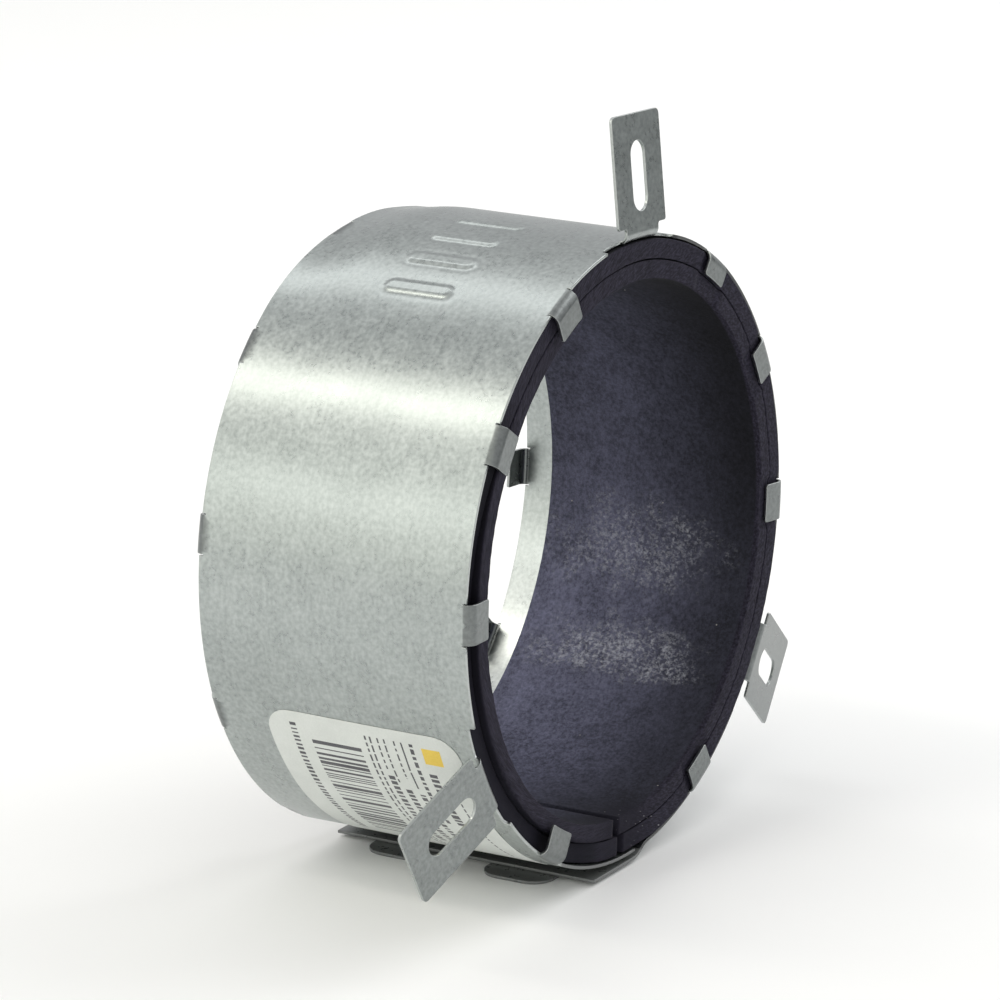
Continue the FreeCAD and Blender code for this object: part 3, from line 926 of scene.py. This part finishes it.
def liner_material():
    """Swelling liner: charcoal with a blue cast, fine grain, rubbed patches and pale specks, with
    painted light and shade on its bore and front.
    """
    material, tree, shader = new_material("swelling_liner")
    where = flat_place(tree)
    u, v, _ = node(tree, "ShaderNodeSeparateXYZ", {0: where}).outputs
    grain = noise_at(tree, where, 1.25, 3.0, 0.7)
    blotch = noise_at(tree, where, 0.25, 4.0, 0.65)
    cloud = noise_at(tree, where, 0.035, 3.0, 0.6)
    total = summed(tree, 0.0, (grain, 0.25, 0.75, 0.62), (blotch, 0.3, 0.7, 0.22),
                   (cloud, 0.35, 0.65, 0.16))
    # Painted light and shade: the bore brightens with depth and changes round the bore
    bore_light = ramp(tree, v, *BORE_LIGHT_DEPTHS, ramp(tree, u, *BORE_LIGHT_AT_FRONT), 1.0)
    bore_light = multiplied(tree, bore_light, *(ramp(tree, u, *change) for change in BORE_LIGHT_CHANGES))
    colour = node(tree, "ShaderNodeVectorMath", {0: mixed(tree, total, *LINER), 3: bore_light},
                  operation="SCALE").outputs[0]
    fuzz = ramp(tree, noise_at(tree, where, 1.5, 3.0, 0.7), 0.3, 0.8)
    # Painted shade: the front face is painted darker than the bore
    colour = mixed(tree, ramp(tree, v, -1.1, -0.4), colour, mixed(tree, fuzz, *SHADED_LINER_FRONT))
    # Rubbed patches are ellipses with a drifting edge, filled with flakes
    scuffs = noise_at(tree, stretched(tree, where, 1.0, 0.75, 1.0), 1.35, 3.0, 0.7, 0.4)
    drift = noise_at(tree, where, 0.12, 3.0, 0.6)
    for around, deep, long, wide, strength in RUBBED_PATCHES:
        a = math_node(tree, "DIVIDE", math_node(tree, "SUBTRACT", u, around), wide)
        b = math_node(tree, "DIVIDE", math_node(tree, "SUBTRACT", v, deep), long)
        away = math_node(tree, "MULTIPLY_ADD", a, a, multiplied(tree, b, b))
        away = math_node(tree, "ADD", away, ramp(tree, drift, 0.3, 0.7, 0.35, -0.35))
        patch = ramp(tree, away, 1.0, -0.1, 0.0, strength)
        flake = ramp(tree, math_node(tree, "MULTIPLY_ADD", patch, 0.10, scuffs), 0.47, 0.80)
        colour = mixed(tree, multiplied(tree, flake, patch), colour, RUBBED)
    colour = mixed(tree, spots(tree, where, 0.16, 0.036, 0.016, 0.45), colour, SPECK)
    # White crumbs lie on the front edge next to the joint
    crumb = multiplied(tree, spots(tree, where, 0.8, 0.17, 0.10, 0.62),
                       ramp(tree, u, -84.0, -92.0), ramp(tree, v, -7.0, -4.0))
    colour = mixed(tree, crumb, colour, CRUMB)
    # Painted shade from the shade mark, in the recess and beside the joint
    colour = mixed(tree, mark_of(tree, "shade"), colour, LINER_SHADE)
    tree.links.new(colour, shader.inputs["Base Color"])
    shader.inputs["Roughness"].default_value = 0.82
    shader.inputs["Specular IOR Level"].default_value = 0.18
    add_bump(tree, shader, noise_at(tree, where, 2.4, 2.0, 0.6), 0.5, 0.00012)
    return material


def paper_material(name, low, high):
    """Coated label paper or ink on it, with a faint unevenness."""
    material, tree, shader = new_material(name)
    where = flat_place(tree)
    fibre = noise_at(tree, where, 2.2, 4.0, 0.6)
    cloud = noise_at(tree, where, 0.15, 2.0, 0.5)
    share = math_node(tree, "MULTIPLY_ADD", fibre, 0.5, multiplied(tree, cloud, 0.5))
    colour = mixed(tree, ramp(tree, share, 0.3, 0.7), low, high)
    tree.links.new(colour, shader.inputs["Base Color"])
    shader.inputs["Roughness"].default_value = 0.42
    add_bump(tree, shader, fibre, 0.1, 0.00003)
    return material


def floor_material():
    """Plain pale studio floor, greyer far off along the camera's right: painted shade."""
    material, tree, shader = new_material("studio_floor")
    where = node(tree, "ShaderNodeTexCoord").outputs["Object"]
    cloud = noise_at(tree, where, 3.0, 3.0, 0.5)
    aside = node(tree, "ShaderNodeVectorMath", {0: where, 1: FLOOR_RIGHTWARDS},
                 operation="DOT_PRODUCT").outputs["Value"]
    colour = mixed(tree, ramp(tree, aside, *FLOOR_FADE), mixed(tree, cloud, *FLOOR), SHADED_FAR_FLOOR)
    tree.links.new(colour, shader.inputs["Base Color"])
    shader.inputs["Roughness"].default_value = 0.75
    shader.inputs["Specular IOR Level"].default_value = 0.2
    return material


steel = steel_material()
liner = liner_material()
paper = paper_material("label_paper", *PAPER)
ink = paper_material("label_ink", *INK)
yellow = paper_material("label_yellow", *YELLOW)


def make_housing():
    """The steel strip with its tabs, lugs, slots, flap and tongues."""
    loops = [divided(with_fillets(housing_outline()))]
    loops += [divided(with_fillets(hole)) for hole in housing_holes()]
    return bent_sheet(
        "housing_sheet", loops, housing_points(), SHEET, EDGE_ROUND, EDGE_SUPPORT, [steel])


def roughness_at(points, scale, seed):
    """Smooth noise from -1 to 1 at points in millimetres."""
    return np.array([
        noise.noise(Vector((x * scale + seed, y * scale, z * scale))) for x, y, z in points])


def make_layer(name, radii, joint, corner, recess, ragged):
    """One rolled strip of the liner: a rounded section carried round from joint to joint.
    Its front edge lies back by the recess on the left, and is ragged near the label. It carries
    painted shade in the recess and beside the joint."""
    low, high = radii
    section = []

    def run(start, end, count):
        section.extend(np.linspace(start, end, count, endpoint=False).tolist())

    def arc(centre, first):
        for angle in np.linspace(first, first + 90, 6):
            section.append([centre[0] + corner * cosd(angle), centre[1] + corner * sind(angle)])

    front, back = LINER_FRONT_X, LINER_BACK_X
    arc((front - corner, low + corner), -90)
    run((front, low + corner), (front, high - corner), 8)
    arc((front - corner, high - corner), 0)
    run((front - corner, high), (back + corner, high), 14)
    arc((back + corner, high - corner), 90)
    run((back, high - corner), (back, low + corner), 5)
    arc((back + corner, low + corner), 180)
    run((back + corner, low), (front - corner, low), 30)
    kept = [section[0]]
    for point in section[1:]:
        if math.dist(point, kept[-1]) > 1e-4:
            kept.append(point)
    section = np.array(kept)
    half_gap = math.degrees(LAYER_JOINT_WIDTH / 2 / ((low + high) / 2))
    angles = np.radians(np.linspace(joint - 360 + half_gap, joint - half_gap, LINER_STEPS))
    count, size = len(angles), len(section)
    x = np.tile(section[:, 0], count)
    radius = np.tile(section[:, 1], count)
    theta = np.repeat(angles, size)
    place_at = np.column_stack([x, radius * np.cos(theta), radius * np.sin(theta)])
    coarse = roughness_at(place_at, 0.07, 3.1)
    fine = roughness_at(place_at, 0.55, 7.7)
    inward = np.clip((radius - (low + high) / 2) / (high - low) * 2, -1, 1)
    radius = radius - inward * LINER_UNEVENNESS * (1 + coarse + fine)
    degrees = np.degrees(theta) % 360
    at_front = smooth(x, front - 2.5, front - 0.2)
    left = window(degrees, *LINER_RECESS_WINDOW)
    proud_end, proud_start = LINER_PROUD_ANGLES
    right = (1 - smooth(degrees, *proud_end)) + smooth(degrees, *proud_start)
    # The tabs hold the edge back where they lie over it
    held = np.zeros(len(degrees))
    for angle in FRONT_TAB_ANGLES:
        away = np.abs((degrees - angle + 180) % 360 - 180) * math.radians(high)
        held = np.maximum(held, 1 - smooth(away, TAB_WIDTH / 2 + 0.5, TAB_WIDTH / 2 + 2.2))
    outer_edge = smooth(radius, high - 1.2, high - 0.1)
    # Painted shade in the recess on the left, near the front
    shade = LINER_RECESS_SHADE * left * smooth(x, front - 3.5, front - 2.0)
    if not recess:
        shade *= outer_edge
    # Painted shade beside the joint
    joint_shade = smooth(x, front - 9, front - 1) * window(degrees, *LINER_JOINT_SHADE_WINDOW)
    shade = np.maximum(shade, LINER_JOINT_SHADE * joint_shade)
    x = x - at_front * (0.12 + 0.12 * coarse + 0.08 * fine)
    proud = LINER_PROUD * right * (1 - LINER_HELD_BACK * held)
    x = x + smooth(x, back, front) * (proud - recess * left)
    if ragged:
        teeth = np.maximum(roughness_at(place_at, 1.1, 1.3) + 0.15, 0)
        x = x - at_front * outer_edge * window(degrees, *RAGGED_WINDOW) * ragged * teeth
    points = np.column_stack([x, radius * np.cos(theta), radius * np.sin(theta)])
    flats = np.column_stack([radius * theta, x, radius])
    faces = []
    for i in range(count - 1):
        for j in range(size):
            k = (j + 1) % size
            faces.append((i * size + j, i * size + k, (i + 1) * size + k, (i + 1) * size + j))
    faces.append(tuple(range(size - 1, -1, -1)))
    faces.append(tuple((count - 1) * size + j for j in range(size)))
    return finish_mesh(name, points, faces, [liner], flats, {"shade": shade})


def make_label():
    """The paper label with generic printed bars, rules and a plain swatch."""
    top = u_at(LABEL_FIRST_ANGLE)
    shrink = MIDDLE / (RING_OUTER_RADIUS + LABEL_GLUE)
    low = top - LABEL_HEIGHT * shrink
    end = LABEL_START_X + LABEL_LENGTH
    radius = LABEL_CORNER_RADIUS
    loop = divided(with_fillets([
        (low, LABEL_START_X, radius), (top, LABEL_START_X, radius),
        (top, end, radius), (low, end, radius)]))
    marks = []

    def mark(down_from, down_to, x_from, x_to, number=1):
        a, b = top - down_to * shrink, top - down_from * shrink
        marks.append(([(a, x_from), (b, x_from), (b, x_to), (a, x_to)], number))

    draws = np.random.default_rng(5)
    down, last = BAR_CODE_DOWN
    while down < last:
        width = draws.choice([0.35, 0.7, 1.05])
        mark(down, down + width, *BAR_CODE_X)
        down += width + draws.choice([0.4, 0.75, 1.1])
    for x, tall, last, first, longest in PRINTED_ROWS:
        down = first
        while down < last:
            length = draws.uniform(0.4, 1.0) * longest
            mark(down, min(down + length, last), x - tall / 2, x + tall / 2)
            down += length + draws.uniform(0.45, 0.8)
    mark(*SWATCH, 2)
    inner = grid(low, top, 2.0, LABEL_START_X, end, 2.4, 0.8)
    corners = np.vstack([np.array(points) for points, _ in marks])
    inner = clear_of(inner, [corners])
    lift = SHEET / 2 + LABEL_GLUE + LABEL_THICKNESS / 2
    return bent_sheet(
        "label_sheet", [loop], inner, LABEL_THICKNESS, LABEL_EDGE_ROUND, LABEL_EDGE_SUPPORT,
        [paper, ink, yellow], lift, marks)


for piece, body_node, slot in (
        (make_housing(), "housing", "galvanised_steel"),
        (make_layer("liner_outer_strip", OUTER_LAYER, OUTER_LAYER_JOINT_ANGLE,
                    corner=0.2, recess=LINER_RECESS, ragged=0.0), "liner_outer", "swelling_liner"),
        (make_layer("liner_inner_strip", INNER_LAYER, INNER_LAYER_JOINT_ANGLE,
                    corner=0.25, recess=0.0, ragged=RAGGED_DEPTH), "liner_inner", "swelling_liner"),
        (make_label(), "label", "label_paper")):
    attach(piece, "root")
    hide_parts(body_node)

# Floor
floor_z = cad_low.z
floor_mesh = bpy.data.meshes.new("floor")
corners = [(-FLOOR_HALF, -FLOOR_HALF), (FLOOR_HALF, -FLOOR_HALF),
           (FLOOR_HALF, FLOOR_HALF), (-FLOOR_HALF, FLOOR_HALF)]
floor_mesh.from_pydata([(x, y, floor_z) for x, y in corners], [], [(0, 1, 2, 3)])
floor_mesh.materials.append(floor_material())
floor = add_object("floor", floor_mesh)


def pose(right, up, back, at):
    """The matrix of something at a place that looks against its back direction."""
    return Matrix.Translation(at) @ Matrix((right, up, back)).transposed().to_4x4()


# Camera
camera_data = bpy.data.cameras.new("camera")
camera_data.lens = CAMERA_LENS
camera_data.sensor_width = 36.0
camera_data.clip_start = 0.05
camera = add_object("camera", camera_data)
backwards, rightwards = Vector(CAMERA_BACKWARDS), Vector(CAMERA_RIGHTWARDS)
camera.matrix_world = pose(rightwards, backwards.cross(rightwards), backwards, CAMERA_AT)
bpy.context.scene.camera = camera
bpy.context.scene.view_settings.view_transform = "Standard"


def area_light(name, toward, distance, wide, tall, radiance, colour):
    """A soft lamp seen from the object in one direction, long along the ring's axis."""
    data = bpy.data.lights.new(name, "AREA")
    data.shape = "RECTANGLE"
    data.size, data.size_y = wide, tall
    data.energy = radiance * math.pi * wide * tall
    data.color = colour
    back = Vector(toward).normalized()
    side = Vector((1, 0, 0))
    side = (side - back * side.dot(back)).normalized()
    add_object(name, data).matrix_world = pose(side, back.cross(side), back, back * distance)


# Lamps: name, direction, distance, width, height, radiance, colour
area_light("lamp_key", (-0.49, -0.456, 0.744), 1.3, 1.5, 0.17, 4.4, (1.0, 0.965, 0.86))
area_light("lamp_top", (-0.49, 0.27, 0.83), 1.3, 1.4, 0.28, 1.5, (1.0, 1.0, 0.99))
area_light("lamp_side", (-0.49, -0.81, 0.33), 1.3, 1.0, 0.22, 0.9, (1.0, 0.99, 0.93))
area_light("lamp_back", (0.35, 0.70, 0.65), 1.5, 1.2, 1.2, 1.9, (1.0, 1.0, 1.0))

# Room light: plain, brighter on the -Y side and dimmer on the +Y side
world = bpy.data.worlds.new("room")
world.use_nodes = True
tree = world.node_tree
direction = node(tree, "ShaderNodeTexCoord").outputs["Generated"]
across = node(tree, "ShaderNodeSeparateXYZ", {0: direction}).outputs[1]
room = mixed(tree, ramp(tree, across, -0.40, -0.80), ROOM, ROOM_LEFT)
room = mixed(tree, ramp(tree, across, 0.35, 0.80), room, ROOM_RIGHT)
background = tree.nodes["Background"]
tree.links.new(room, background.inputs[0])
background.inputs[1].default_value = 1.0
bpy.context.scene.world = world
